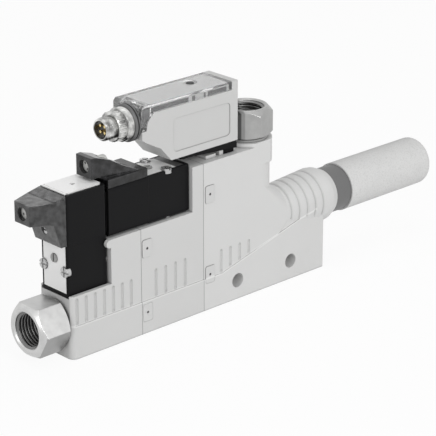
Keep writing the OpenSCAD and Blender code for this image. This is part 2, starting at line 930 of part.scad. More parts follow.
module valve_1_body() {
    color(valve_black) valve_1_place() valve_body();
}
module valve_1_coil() {
    color(valve_black) valve_1_place() coil();
}
module valve_1_end_plate() {
    color([0.86, 0.86, 0.85]) valve_1_place() end_plate();
}
module valve_1_override() {
    color([0.60, 0.60, 0.60]) valve_1_place() override_button();
}
module valve_1_screws() {
    color(metal_grey) valve_1_place() valve_screws();
}
module valve_1_gasket() {
    color([0.15, 0.15, 0.15]) valve_1_place() gasket();
}
module valve_1_cap() {
    color([0.86, 0.86, 0.85]) valve_1_place() coil_cap();
}
module valve_1_armature() {
    color([0.55, 0.55, 0.56]) valve_1_place() armature();
}
module valve_1_plug() {
    color(smoke) valve_1_place() plug_out();
}
module valve_1_plug_insert() {
    color([0.80, 0.80, 0.78])
        valve_1_place()
            translate([-plug_reach, 0, valve_l - plug_drop - plug_nose_h / 2])
                plug_insert();
}
module valve_1_plug_screw() {
    color(metal_grey) valve_1_place() plug_screw(plug_foot_t + 1);
}
module valve_2_body() {
    color(valve_black) valve_2_place() valve_body();
}
module valve_2_coil() {
    color(valve_black) valve_2_place() coil();
}
module valve_2_end_plate() {
    color([0.86, 0.86, 0.85]) valve_2_place() end_plate();
}
module valve_2_override() {
    color([0.60, 0.60, 0.60]) valve_2_place() override_button();
}
module valve_2_screws() {
    color(metal_grey) valve_2_place() valve_screws();
}
module valve_2_gasket() {
    color([0.15, 0.15, 0.15]) valve_2_place() gasket();
}
module valve_2_cap() {
    color([0.86, 0.86, 0.85]) valve_2_place() coil_cap();
}
module valve_2_armature() {
    color([0.55, 0.55, 0.56]) valve_2_place() armature();
}
module valve_2_plug() {
    color(smoke) valve_2_place() plug_along();
}
module valve_2_plug_insert() {
    color([0.80, 0.80, 0.78])
        valve_2_place()
            translate([-(nose_u + nose_floor_u) / 2, 0, valve_l + plug_over])
                rotate([0, 90, 0])
                    plug_insert();
}
module valve_2_plug_screw() {
    color(metal_grey) valve_2_place() plug_screw(plug_lie_t - 0.3);
}

// ---- sensor ----

// a black plate under the sensor, on a leg that stands on the tower
module sensor_foot() {
    color([0.18, 0.18, 0.19])
        difference() {
            union() {
                translate([sensor_end_x - foot_l, 0, sensor_z - foot_plate_t])
                    round_block([foot_l, foot_w, foot_plate_t], 1);
                translate([sensor_end_x - leg_l, 0, tower_z])
                    round_block([leg_l, leg_w, sensor_gap - foot_plate_t + eps], 1);
            }
            translate([sensor_end_x - leg_l / 2, 0, tower_z - cut])
                cylinder(r = 1.2, h = sensor_gap + 2 * cut);
        }
}

module connector_pocket() {
    translate([0, connector_y, connector_z])
        rod_x(connector_r + run_gap, sensor_x - cut, sensor_x + sleeve_depth + 0.1);
}

module sensor_housing() {
    color(body_grey)
        difference() {
            side_profile([
                [sensor_x, sensor_z + 10.4], [sensor_x + 1.6, sensor_z + 9.2],
                [sensor_x + 8.6, sensor_z + 5.4], [sensor_x + 13.4, sensor_z],
                [sensor_end_x, sensor_z], [sensor_end_x, sensor_top_z],
                [cover_end_x, sensor_top_z], [cover_end_x, cover_z], [sensor_x + 5.6, cover_z],
                [sensor_x + 2.6, cover_z - 3], [sensor_x + 2, cover_z - 6], [sensor_x, cover_z - 6]
            ], sensor_w);
            // the room for the board
            translate([sensor_x + 6.5, -sensor_half + room_wall, sensor_z + 8])
                cube([cover_end_x - sensor_x - 7.5, sensor_w - 2 * room_wall, sensor_h]);
            // the shallow label field on both sides
            for (side = [-1, 1])
                translate([sensor_x + 14.5, side * (sensor_half - label_sink), sensor_z + 2.6])
                    rotate([90, 0, 0])
                        translate([0, 0, side > 0 ? -cut : 0])
                            linear_extrude(cut)
                                round_rect([sensor_l - 18.2, label_h], 1.6);
            connector_pocket();
        }
}

// the dark end of the display at the cover's left front corner, and its room in the cover
module display_end(grow) {
    translate([0, -sensor_half + cover_wall + 0.7, 0])
        side_profile([
            [sensor_x + 0.8 - grow, cover_z - 4.4 - grow], [sensor_x + 1.9, cover_z - 4.4 - grow],
            [sensor_x + 2.4, cover_z - 2.9], [sensor_x + 4.1 + grow, cover_z - 1.2],
            [sensor_x + 4.1 + grow, cover_roof_z + grow], [sensor_x + 0.8 - grow, cover_roof_z + grow]
        ], 1.3 + 2 * grow);
}

// the clear cover over the display, open below
module sensor_cover() {
    color([0.85, 0.87, 0.88, 0.35])
        difference() {
            side_profile([
                [sensor_x, cover_z - 5.95], [sensor_x + 1.95, cover_z - 5.95],
                [sensor_x + 2.5, cover_z - 2.95], [sensor_x + 5.5, cover_z + 0.05],
                [cover_end_x - 0.05, cover_z + 0.05], [cover_end_x - 0.05, sensor_top_z],
                [sensor_x + 1, sensor_top_z], [sensor_x, sensor_top_z - 1]
            ], sensor_w);
            translate([frame_x, -sensor_half + cover_wall, cover_z - cut])
                cube([frame_end_x - frame_x, sensor_w - 2 * cover_wall, cut + cover_h - cover_wall]);
            translate([button_x, button_y, cover_z])
                cylinder(r = button_r + run_gap, h = cover_h + cut);
            translate([button_x, button_y, sensor_top_z - button_dish])
                cylinder(r = button_r + 1.2, h = button_dish + cut);
            display_end(0.05);
            connector_pocket();
        }
}

module sensor_board() {
    color([0.16, 0.18, 0.20])
        translate([sensor_x + 7.5, -sensor_half + board_inset, cover_z - 2])
            cube([cover_end_x - sensor_x - 9.5, sensor_w - 2 * board_inset, board_t]);
}

frame_x = sensor_x + 4.7;
frame_end_x = cover_end_x - 1;
display_t = 1.5;
display_y = -sensor_half + cover_wall + 0.05;
// the display's windows: how far each starts from the sensor's left end, and its length
display_windows = [[4.9, 17.4], [24, 1.4], [29.6, 0.8], [31.5, 9]];
module display_bars(grow) {
    for (w = display_windows)
        translate([sensor_x + w[0] - grow, display_y - 2 * grow, cover_z + 0.05 - grow])
            cube([w[1] + 2 * grow, display_t + 3 * grow, display_h + 2 * grow]);
}

// the pale frame under the cover, notched for the display's windows
module sensor_frame() {
    frame_y = sensor_half - cover_wall - 0.1;
    color([0.88, 0.88, 0.87])
        difference() {
            translate([frame_x + 0.05, -frame_y, cover_z + 0.05])
                cube([frame_end_x - frame_x - 0.1, 2 * frame_y, cover_roof_z - cover_z - 0.1]);
            display_bars(0.05);
            translate([button_x, button_y, cover_z - cut])
                cylinder(r = button_r + button_rim + 0.1, h = cover_h + cut);
        }
}

module sensor_display() {
    color([0.10, 0.10, 0.11])
        union() {
            display_bars(0);
            display_end(0);
        }
}

module sensor_button() {
    color([0.12, 0.12, 0.12])
        translate([button_x, button_y, sensor_top_z - 0.1 - button_l])
            union() {
                cylinder(r = button_r, h = button_l);
                cylinder(r = button_r + button_rim, h = button_l - cover_wall - 0.1);
            }
}

// the grooved flange that seats the round connector against the sensor
module connector_ring() {
    bore_r = connector_r + 0.1;
    groove_x = flange_x + flange_t / 2;
    color([0.28, 0.28, 0.29])
        translate([0, connector_y, connector_z])
            turned_x([
                [bore_r, flange_x], [flange_r - 0.5, flange_x], [flange_r, flange_x + 0.4],
                [flange_r, groove_x - 0.3], [flange_r - 0.5, groove_x - 0.3],
                [flange_r - 0.5, groove_x + 0.3], [flange_r, groove_x + 0.3],
                [flange_r, sensor_x - 0.05], [bore_r, sensor_x - 0.05]
            ]);
}

// the threaded sleeve, with its knurled collar and its hub against the flange
module connector_sleeve() {
    tip_bevel = 0.4;
    bore_r = connector_r - connector_wall;
    color([0.78, 0.78, 0.77])
        translate([0, connector_y, connector_z])
            difference() {
                turned_x([
                    [bore_r, connector_tip_x], [connector_r - tip_bevel, connector_tip_x],
                    [connector_r, connector_tip_x + tip_bevel], [connector_r, knurl_x - 0.6],
                    [connector_r - 0.3, knurl_x - 0.6], [connector_r - 0.3, knurl_x],
                    [knurl_r - 0.4, knurl_x], [knurl_r, knurl_x + 0.4], [knurl_r, hub_x],
                    [hub_r - 0.4, hub_x], [hub_r, hub_x + 0.4], [hub_r, flange_x - 0.05],
                    [connector_r, flange_x - 0.05], [connector_r, sensor_x + sleeve_depth],
                    [bore_r, sensor_x + sleeve_depth]
                ]);
                for (i = [0 : knurl_count - 1])
                    rotate([i * 360 / knurl_count, 0, 0])
                        translate([0, 0, knurl_r + 0.1])
                            rod_x(0.4, knurl_x - cut, hub_x - 0.5, $fn = 12);
            }
}

module connector_insert() {
    insert_r = connector_r - connector_wall - run_gap;
    color([0.14, 0.14, 0.14])
        translate([0, connector_y, connector_z])
            difference() {
                rod_x(insert_r, connector_tip_x + 4, sensor_x + sleeve_depth);
                pin_set(0.05);
            }
}

// four contact pins on a circle
module pin_set(grow) {
    pin_end_x = sensor_x + sleeve_depth - 0.4 + 2 * grow;
    for (i = [0 : 3])
        rotate([45 + 90 * i, 0, 0])
            translate([0, 0, pin_circle_r])
                rod_x(pin_r + grow, connector_tip_x + 1, pin_end_x);
}

module connector_pins() {
    color([0.80, 0.68, 0.36])
        translate([0, connector_y, connector_z])
            pin_set(0);
}

valve_base_1();
valve_base_2();
ejector_housing();
module_clips();
supply_port();
supply_seal();
vacuum_port();
vacuum_seal();
jet_nozzle();
receiver_nozzle();
nozzle_seals();
silencer_collar();
silencer();
valve_1_body();
valve_1_coil();
valve_1_end_plate();
valve_1_override();
valve_1_screws();
valve_1_gasket();
valve_1_cap();
valve_1_armature();
valve_1_plug();
valve_1_plug_insert();
valve_1_plug_screw();
valve_2_body();
valve_2_coil();
valve_2_end_plate();
valve_2_override();
valve_2_screws();
valve_2_gasket();
valve_2_cap();
valve_2_armature();
valve_2_plug();
valve_2_plug_insert();
valve_2_plug_screw();
sensor_foot();
sensor_housing();
sensor_cover();
sensor_board();
sensor_frame();
sensor_display();
sensor_button();
connector_ring();
connector_sleeve();
connector_insert();
connector_pins();
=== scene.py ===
import json
import math
import bpy
import numpy as np
from mathutils import Matrix, Vector


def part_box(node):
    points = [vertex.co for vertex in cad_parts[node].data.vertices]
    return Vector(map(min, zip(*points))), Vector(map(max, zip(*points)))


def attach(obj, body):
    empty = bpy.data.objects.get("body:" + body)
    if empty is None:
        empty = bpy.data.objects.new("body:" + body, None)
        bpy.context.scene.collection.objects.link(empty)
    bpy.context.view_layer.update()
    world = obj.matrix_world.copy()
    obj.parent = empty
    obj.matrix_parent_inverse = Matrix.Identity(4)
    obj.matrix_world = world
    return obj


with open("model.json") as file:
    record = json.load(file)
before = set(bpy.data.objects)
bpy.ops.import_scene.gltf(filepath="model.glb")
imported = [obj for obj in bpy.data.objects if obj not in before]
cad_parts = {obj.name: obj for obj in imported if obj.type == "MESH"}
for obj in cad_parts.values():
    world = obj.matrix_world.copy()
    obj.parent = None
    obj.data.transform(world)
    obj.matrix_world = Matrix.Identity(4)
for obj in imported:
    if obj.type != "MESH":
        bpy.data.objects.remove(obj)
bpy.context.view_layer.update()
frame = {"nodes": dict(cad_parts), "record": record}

nodes = frame["nodes"]
mounts = {mount["name"]: mount for mount in frame["record"]["mounts"]}
mm = 0.001
print("frame loaded:", len(nodes), "nodes")

# the camera looks along azimuth and elevation at a point of the part, from a long distance
cameraView = {
    "target": (0.086, 0.0, 0.0421),
    "azimuth": 0.75601,  # radians, from the part's front towards its left
    "elevation": 0.37314,  # radians above level
    "distance": 0.76383,
    "right": -0.006415,  # how far the camera is moved sideways and upwards
    "up": -0.013735,
    "lens": 171.92,  # focal length and sensor width, in millimetres
    "sensor": 36.0,
    "clip": (0.05, 20.0),
}


def buildCamera(view):
    # back leads from the target to the camera, right and up lie across it
    az, el = view["azimuth"], view["elevation"]
    back = Vector((-math.sin(az) * math.cos(el), -math.cos(az) * math.cos(el), math.sin(el)))
    right = Vector((math.cos(az), -math.sin(az), 0.0))
    up = back.cross(right)
    data = bpy.data.cameras.new("studioCamera")
    data.lens = view["lens"]
    data.sensor_width = view["sensor"]
    data.clip_start, data.clip_end = view["clip"]
    camera = bpy.data.objects.new("studioCamera", data)
    turn = Matrix((right, up, back)).transposed().to_4x4()
    place = Vector(view["target"]) + back * view["distance"] + right * view["right"] + up * view["up"]
    camera.matrix_world = Matrix.Translation(place) @ turn
    bpy.context.scene.collection.objects.link(camera)
    bpy.context.scene.camera = camera


buildCamera(cameraView)
print("camera placed")


def addNode(tree, kind, settings=None, links=None, values=None):
    # a node with its settings, its linked inputs and its plain input values
    node = tree.nodes.new(kind)
    for key, value in (settings or {}).items():
        setattr(node, key, value)
    for key, value in (values or {}).items():
        node.inputs[key].default_value = value
    for key, source in (links or {}).items():
        tree.links.new(source, node.inputs[key])
    return node


def mathNode(tree, operation, links, values=None):
    return addNode(tree, "ShaderNodeMath", {"operation": operation}, links, values).outputs[0]


def oneMinus(tree, value):
    return mathNode(tree, "SUBTRACT", {1: value}, {0: 1.0})


def centred(tree, value):
    # a noise between 0 and 1, moved so that it changes round 0
    return mathNode(tree, "SUBTRACT", {0: value}, {1: 0.5})


def remap(tree, value, start, end, before=0.0, after=1.0):
    # before up to start, after from end on, and a straight slope between them
    limits = {"From Min": start, "From Max": end, "To Min": before, "To Max": after}
    return addNode(tree, "ShaderNodeMapRange", {}, {"Value": value}, limits).outputs[0]


def scaledColor(tree, color, factor):
    links = {0: color, "Scale": factor}
    return addNode(tree, "ShaderNodeVectorMath", {"operation": "SCALE"}, links).outputs[0]


def noise(tree, vector, values, links=None):
    found = addNode(tree, "ShaderNodeTexNoise", {}, {"Vector": vector, **(links or {})}, values)
    return found.outputs["Fac"]


def axesOf(tree, vector):
    return addNode(tree, "ShaderNodeSeparateXYZ", {}, {0: vector}).outputs


studio = {
    "floorZ": -0.0002,
    "floorReach": 3.0,
    "floorColor": (0.90, 0.90, 0.90),
    "floorRoughness": 0.9,
    "floorSpecular": 0.1,
    "floorGlow": 0.92,  # share of plain white that the camera sees on the floor
    "ambient": 0.46,
    "lamps": {
        "keyLamp": {"power": 7.0, "place": (-0.05, -1.15, 0.62), "size": 0.5},
        "topLamp": {"power": 2.4, "place": (0.15, 0.10, 1.25), "size": 0.8},
        "sideLamp": {"power": 2.2, "place": (-1.1, -0.35, 0.55), "size": 0.5},
    },
    "aim": (0.09, 0.0, 0.03),
}
white = (1, 1, 1, 1)


def areaLamp(name, lamp, aim):
    data = bpy.data.lights.new(name, "AREA")
    data.energy = lamp["power"]
    data.size = lamp["size"]
    obj = bpy.data.objects.new(name, data)
    obj.location = lamp["place"]
    obj.rotation_euler = (Vector(aim) - Vector(lamp["place"])).to_track_quat("-Z", "Y").to_euler()
    bpy.context.scene.collection.objects.link(obj)


def showsBackground(tree):
    # 1 where the camera, a reflection or a see-through piece looks at the background
    path = tree.nodes.new("ShaderNodeLightPath").outputs
    seen = mathNode(tree, "MAXIMUM", {0: path["Is Camera Ray"], 1: path["Is Transmission Ray"]})
    return mathNode(tree, "MAXIMUM", {0: seen, 1: path["Is Glossy Ray"]})


def buildWorld(room):
    # the world lights with a grey, and shows white behind the part
    world = bpy.data.worlds.new("studioWorld")
    world.use_nodes = True
    tree = world.node_tree
    tree.nodes.clear()
    low = addNode(tree, "ShaderNodeBackground", values={"Color": white, "Strength": room["ambient"]})
    high = addNode(tree, "ShaderNodeBackground", values={"Color": white, "Strength": 1.0})
    links = {0: showsBackground(tree), 1: low.outputs[0], 2: high.outputs[0]}
    mix = addNode(tree, "ShaderNodeMixShader", {}, links)
    addNode(tree, "ShaderNodeOutputWorld", {}, {"Surface": mix.outputs[0]})
    bpy.context.scene.world = world


def buildFloor(room):
    # a flat pale sheet under the part: it looks nearly white, and keeps the part's shadow
    reach, z = room["floorReach"], room["floorZ"]
    corners = [(-reach, -reach, z), (reach, -reach, z), (reach, reach, z), (-reach, reach, z)]
    mesh = bpy.data.meshes.new("studioFloor")
    mesh.from_pydata(corners, [], [(0, 1, 2, 3)])
    floor = bpy.data.objects.new("studioFloor", mesh)
    bpy.context.scene.collection.objects.link(floor)
    material = bpy.data.materials.new("studioFloor")
    material.use_nodes = True
    tree = material.node_tree
    shader = tree.nodes["Principled BSDF"]
    shader.inputs["Base Color"].default_value = (*room["floorColor"], 1)
    shader.inputs["Roughness"].default_value = room["floorRoughness"]
    shader.inputs["Specular IOR Level"].default_value = room["floorSpecular"]
    glow = addNode(tree, "ShaderNodeEmission", values={"Color": white, "Strength": 1.0})
    share = mathNode(tree, "MULTIPLY", {0: showsBackground(tree)}, {1: room["floorGlow"]})
    mix = addNode(tree, "ShaderNodeMixShader", {}, {0: share, 1: shader.outputs[0], 2: glow.outputs[0]})
    tree.links.new(mix.outputs[0], tree.nodes["Material Output"].inputs["Surface"])
    mesh.materials.append(material)


for lampName, lampValues in studio["lamps"].items():
    areaLamp(lampName, lampValues, studio["aim"])
buildWorld(studio)
buildFloor(studio)
bpy.context.scene.view_settings.view_transform = "Standard"
print("studio lit")

# effects that several materials share: each is a node group, with its fixed values in a dictionary
groupGrey = (0.6, 0.6, 0.6, 1)


def newGroup(name, inputs, outputs):
    group = bpy.data.node_groups.new(name, "ShaderNodeTree")
    for label, kind, value in inputs:
        socket = group.interface.new_socket(name=label, in_out="INPUT", socket_type="NodeSocket" + kind)
        if value is not None:
            socket.default_value = value
    for label, kind in outputs:
        group.interface.new_socket(name=label, in_out="OUTPUT", socket_type="NodeSocket" + kind)
    return group, group.nodes.new("NodeGroupInput").outputs, group.nodes.new("NodeGroupOutput").inputs


grain = {
    "fine": {"Detail": 2.0, "Roughness": 0.6},
    "slow": {"Scale": 45.0, "Detail": 3.0, "Roughness": 0.55},
    "speck": 0.035,
}


def mouldedGrain(effect):
    # fine eroded grain of a mould, with slow changes of tone over the piece
    group, given, result = newGroup(
        "mouldedGrain",
        [("Vector", "Vector", None), ("Color", "Color", groupGrey), ("Grain Scale", "Float", 2600.0),
         ("Tone", "Float", 0.03), ("Roughness", "Float", 0.5), ("Gloss Change", "Float", 0.08)],
        [("Color", "Color"), ("Roughness", "Float"), ("Height", "Float")],
    )
    fine = noise(group, given["Vector"], effect["fine"], {"Scale": given["Grain Scale"]})
    slow = centred(group, noise(group, given["Vector"], effect["slow"]))
    toned = mathNode(group, "MULTIPLY", {0: slow, 1: given["Tone"]})
    speckled = mathNode(group, "MULTIPLY_ADD", {0: centred(group, fine), 2: toned}, {1: effect["speck"]})
    factor = mathNode(group, "ADD", {0: speckled}, {1: 1.0})
    gloss = mathNode(group, "MULTIPLY_ADD", {0: slow, 1: given["Gloss Change"], 2: given["Roughness"]})
    group.links.new(scaledColor(group, given["Color"], factor), result["Color"])
    group.links.new(gloss, result["Roughness"])
    group.links.new(fine, result["Height"])
    return group


lathe = {
    "rings": {"Distortion": 1.2, "Detail": 1.0},
    "cloud": {"Scale": 320.0, "Detail": 4.0},
    "glossChange": 0.18,
}


def turnedMarks(effect):
    # lathe marks: fine rings across the X axis of the given vector, and slightly uneven plating
    group, given, result = newGroup(
        "turnedMarks",
        [("Vector", "Vector", None), ("Color", "Color", groupGrey), ("Pitch Scale", "Float", 900.0),
         ("Roughness", "Float", 0.28), ("Stain", "Float", 0.10)],
        [("Color", "Color"), ("Roughness", "Float"), ("Height", "Float")],
    )
    rings = addNode(group, "ShaderNodeTexWave", {"wave_type": "BANDS", "bands_direction": "X"},
                    {"Vector": given["Vector"], "Scale": given["Pitch Scale"]}, effect["rings"])
    cloud = centred(group, noise(group, given["Vector"], effect["cloud"]))
    rough = mathNode(group, "MULTIPLY_ADD", {0: cloud, 2: given["Roughness"]}, {1: effect["glossChange"]})
    factor = mathNode(group, "MULTIPLY_ADD", {0: cloud, 1: given["Stain"]}, {2: 1.0})
    group.links.new(scaledColor(group, given["Color"], factor), result["Color"])
    group.links.new(rough, result["Roughness"])
    group.links.new(rings.outputs["Fac"], result["Height"])
    return group


sinter = {
    "beads": {"Randomness": 1.0},
    "cloud": {"Scale": 260.0, "Detail": 4.0},
    "pore": (0.45, 0.85),  # where a pore begins and where it is deepest, counted from a bead's middle
    "toneSpread": 0.10,
    "toneLow": 0.95,
}


def sinteredGrain(effect):
    # beads fused together, with dark pores between them
    group, given, result = newGroup(
        "sinteredGrain",
        [("Vector", "Vector", None), ("Color", "Color", (0.7, 0.7, 0.7, 1)), ("Bead Scale", "Float", 1500.0),
         ("Pore Depth", "Float", 0.25)],
        [("Color", "Color"), ("Height", "Float")],
    )
    links = {"Vector": given["Vector"], "Scale": given["Bead Scale"]}
    beads = addNode(group, "ShaderNodeTexVoronoi", {"feature": "F1"}, links, effect["beads"])
    distance = beads.outputs["Distance"]
    pore = remap(group, distance, *effect["pore"])
    dark = mathNode(group, "MULTIPLY", {0: pore, 1: given["Pore Depth"]})
    cloud = noise(group, given["Vector"], effect["cloud"])
    light = mathNode(group, "MULTIPLY_ADD", {0: cloud}, {1: effect["toneSpread"], 2: effect["toneLow"]})
    factor = mathNode(group, "SUBTRACT", {0: light, 1: dark})
    group.links.new(scaledColor(group, given["Color"], factor), result["Color"])
    group.links.new(oneMinus(group, distance), result["Height"])
    return group


cavity = {"samples": 8, "open": (0.42, 0.86)}  # how open a place is when fully dark, and when fully light


def cavityShade(effect):
    # narrow grooves, slits and inner corners get less light: the shade follows how closed a place is
    group, given, result = newGroup(
        "cavityShade",
        [("Color", "Color", groupGrey), ("Reach", "Float", 0.0012), ("Shade", "Float", 0.5)],
        [("Color", "Color")],
    )
    openness = addNode(group, "ShaderNodeAmbientOcclusion", {"samples": effect["samples"]},
                       {"Distance": given["Reach"]}).outputs["AO"]
    closed = oneMinus(group, remap(group, openness, *effect["open"]))
    factor = oneMinus(group, mathNode(group, "MULTIPLY", {0: closed, 1: given["Shade"]}))
    group.links.new(scaledColor(group, given["Color"], factor), result["Color"])
    return group


# the ledge round the body's foot runs level up to a place on X, and slants up from there
ledge = {
    "height": 0.0124,
    "depth": 0.00025,  # how far the side steps back above the ledge
    "turn": 0.071,
    "slope": 0.264,
    "end": 0.119,  # where its painted highlight ends on X
    "core": 0.0002,  # half the width of its painted highlight where it is fully light
    "fade": 0.0006,  # the same with its soft rim
}


def paintedLedgeHighlight(line):
    # a painted highlight along the ledge's edge: it lies at the level part's height plus the slope times
    # the distance past the turn
    group, given, result = newGroup(
        "paintedLedgeHighlight",
        [("Vector", "Vector", None), ("Color", "Color", groupGrey), ("Gain", "Float", 0.0)],
        [("Color", "Color")],
    )
    at = axesOf(group, given["Vector"])
    past = mathNode(group, "SUBTRACT", {0: at["X"]}, {1: line["turn"]})
    rise = mathNode(group, "MAXIMUM", {0: past}, {1: 0.0})
    height = mathNode(group, "MULTIPLY_ADD", {0: rise}, {1: line["slope"], 2: line["height"]})
    off = mathNode(group, "ABSOLUTE", {0: mathNode(group, "SUBTRACT", {0: at["Z"], 1: height})})
    near = remap(group, off, line["core"], line["fade"], 1.0, 0.0)
    before = mathNode(group, "LESS_THAN", {0: at["X"]}, {1: line["end"]})
    lit = mathNode(group, "MULTIPLY", {0: near, 1: before})
    factor = mathNode(group, "MULTIPLY_ADD", {0: lit, 1: given["Gain"]}, {2: 1.0})
    group.links.new(scaledColor(group, given["Color"], factor), result["Color"])
    return group


grainGroup = mouldedGrain(grain)
cavityGroup = cavityShade(cavity)
ledgeHighlightGroup = paintedLedgeHighlight(ledge)
turnedGroup = turnedMarks(lathe)
sinterGroup = sinteredGrain(sinter)
print("shared effects built")


def newMaterial(name, plain):
    # a material with its plain values set straight on the shader
    material = bpy.data.materials.new(name)
    material.use_nodes = True
    tree = material.node_tree
    shader = tree.nodes["Principled BSDF"].inputs
    for key, value in plain.items():
        shader[key].default_value = value
    where = tree.nodes.new("ShaderNodeTexCoord").outputs["Object"]
    return material, tree, shader, where


def effectNode(tree, group, links, values):
    return addNode(tree, "ShaderNodeGroup", {"node_tree": group}, links, values).outputs


edgeSamples = 4


def reliefNormal(tree, height, look):
    # fine relief over softly rounded edges
    settings = {"samples": edgeSamples}
    rounded = addNode(tree, "ShaderNodeBevel", settings, None, {"Radius": look["edge"]}).outputs[0]
    bump = addNode(tree, "ShaderNodeBump", {}, {"Height": height, "Normal": rounded},
                   {"Strength": look["relief"], "Distance": look["depth"]})
    return bump.outputs[0]


def dullBand(tree, where, color, band):
    # painted shade along an axis: each step is a place, and how much painted shade lies before and after it;
    # with "past", only what lies beyond that place on X is darkened
    at = axesOf(tree, where)
    for place, before, after in band["steps"]:
        dark = remap(tree, at[band.get("axis", "X")], place, place + band["soft"], before, after)
        if "past" in band:
            inside = remap(tree, at["X"], band["past"], band["past"] + band["soft"])
            dark = mathNode(tree, "MULTIPLY", {0: dark, 1: inside})
        color = scaledColor(tree, color, oneMinus(tree, dark))
    return color


def plasticMaterial(name, look):
    # moulded plastic: the grain gives tone, gloss and height, and closed places get painted shade
    plain = {"IOR": look["ior"], "Specular IOR Level": look["specular"]}
    material, tree, shader, where = newMaterial(name, plain)
    grained = effectNode(tree, grainGroup, {"Vector": where}, {
        "Color": (*look["color"], 1), "Grain Scale": look["grainScale"], "Tone": look["tone"],
        "Roughness": look["roughness"], "Gloss Change": look["glossChange"]})
    shadeValues = {"Reach": look["reach"], "Shade": look["shade"]}
    tone = effectNode(tree, cavityGroup, {"Color": grained["Color"]}, shadeValues)["Color"]
    # a painted highlight along the ledge's edge, as strong as the look's gain
    if "ledgeGain" in look:
        links = {"Vector": where, "Color": tone}
        tone = effectNode(tree, ledgeHighlightGroup, links, {"Gain": look["ledgeGain"]})["Color"]
    # painted shade along a band, where the look gives one
    if "dull" in look:
        tone = dullBand(tree, where, tone, look["dull"])
    tree.links.new(tone, shader["Base Color"])
    tree.links.new(grained["Roughness"], shader["Roughness"])
    tree.links.new(reliefNormal(tree, grained["Height"], look), shader["Normal"])
    return material


def metalMaterial(name, look):
    # turned and plated metal; the Mapping node turns the marks onto the piece's own axis
    material, tree, shader, where = newMaterial(name, {"Metallic": 1.0})
    turned = addNode(tree, "ShaderNodeMapping", {}, {"Vector": where}, {"Rotation": look["turn"]})
    marked = effectNode(tree, turnedGroup, {"Vector": turned.outputs[0]}, {
        "Color": (*look["color"], 1), "Pitch Scale": look["pitchScale"], "Roughness": look["roughness"],
        "Stain": look["stain"]})
    tone = marked["Color"]
    # painted shade along a band, where the look gives one
    if "dull" in look:
        tone = dullBand(tree, where, tone, look["dull"])
    tree.links.new(tone, shader["Base Color"])
    tree.links.new(marked["Roughness"], shader["Roughness"])
    tree.links.new(reliefNormal(tree, marked["Height"], look), shader["Normal"])
    return material


def sinteredMaterial(name, look):
    # the silencer's porous wall, matt all over
    plain = {"Roughness": look["roughness"], "Specular IOR Level": look["specular"]}
    material, tree, shader, where = newMaterial(name, plain)
    beaded = effectNode(tree, sinterGroup, {"Vector": where}, {
        "Color": (*look["color"], 1), "Bead Scale": look["beadScale"], "Pore Depth": look["pores"]})
    tree.links.new(beaded["Color"], shader["Base Color"])
    tree.links.new(reliefNormal(tree, beaded["Height"], look), shader["Normal"])
    return material


def clearMaterial(name, look):
    # see-through plastic with a faint haze of grain in its gloss, and a cloudy tint where it is mottled; the
    # mottled ones also take painted shade along a band
    material, tree, shader, where = newMaterial(name, {
        "Base Color": (*look["color"], 1), "IOR": look["ior"], "Transmission Weight": look["clear"]})
    if "mottle" in look:
        cloud = centred(tree, noise(tree, where, look["cloud"]))
        uneven = mathNode(tree, "MULTIPLY_ADD", {0: cloud}, {1: look["mottle"], 2: 1.0})
        cloudy = mathNode(tree, "MAXIMUM", {0: uneven}, {1: look["darkest"]})
        tint = addNode(tree, "ShaderNodeVectorMath", {"operation": "SCALE"}, {"Scale": cloudy},
                       {0: look["color"]})
        # the mottled plugs take painted shade along a band
        tree.links.new(dullBand(tree, where, tint.outputs[0], look["dull"]), shader["Base Color"])
    haze = noise(tree, where, look["haze"])
    low, high = (look["roughness"] * share for share in look["hazeRange"])
    tree.links.new(remap(tree, haze, 0.0, 1.0, low, high), shader["Roughness"])
    tree.links.new(reliefNormal(tree, haze, look), shader["Normal"])
    return material


def plastic(color, rough, **more):
    # the usual values of a moulded plastic, and what differs in this one
    usual = {"ior": 1.5, "specular": 0.5, "grainScale": 2600.0, "tone": 0.06, "glossChange": 0.08,
             "edge": 0.00015, "relief": 0.10, "depth": 0.00005, "reach": 0.0012, "shade": 0.5}
    return {**usual, "color": color, "roughness": rough, **more}


def metal(color, rough, **more):
    usual = {"pitchScale": 2600.0, "stain": 0.10, "turn": (0, 0, 0), "edge": 0.0001, "relief": 0.12,
             "depth": 0.00002}
    return {**usual, "color": color, "roughness": rough, **more}


def clear(color, rough, **more):
    usual = {"cloud": {"Scale": 420.0, "Detail": 3.0}, "darkest": 0.1, "edge": 0.0004, "relief": 0.02,
             "depth": 0.00005, "haze": {"Scale": 700.0, "Detail": 2.0}, "hazeRange": (0.7, 1.3)}
    return {**usual, "color": color, "roughness": rough, **more}
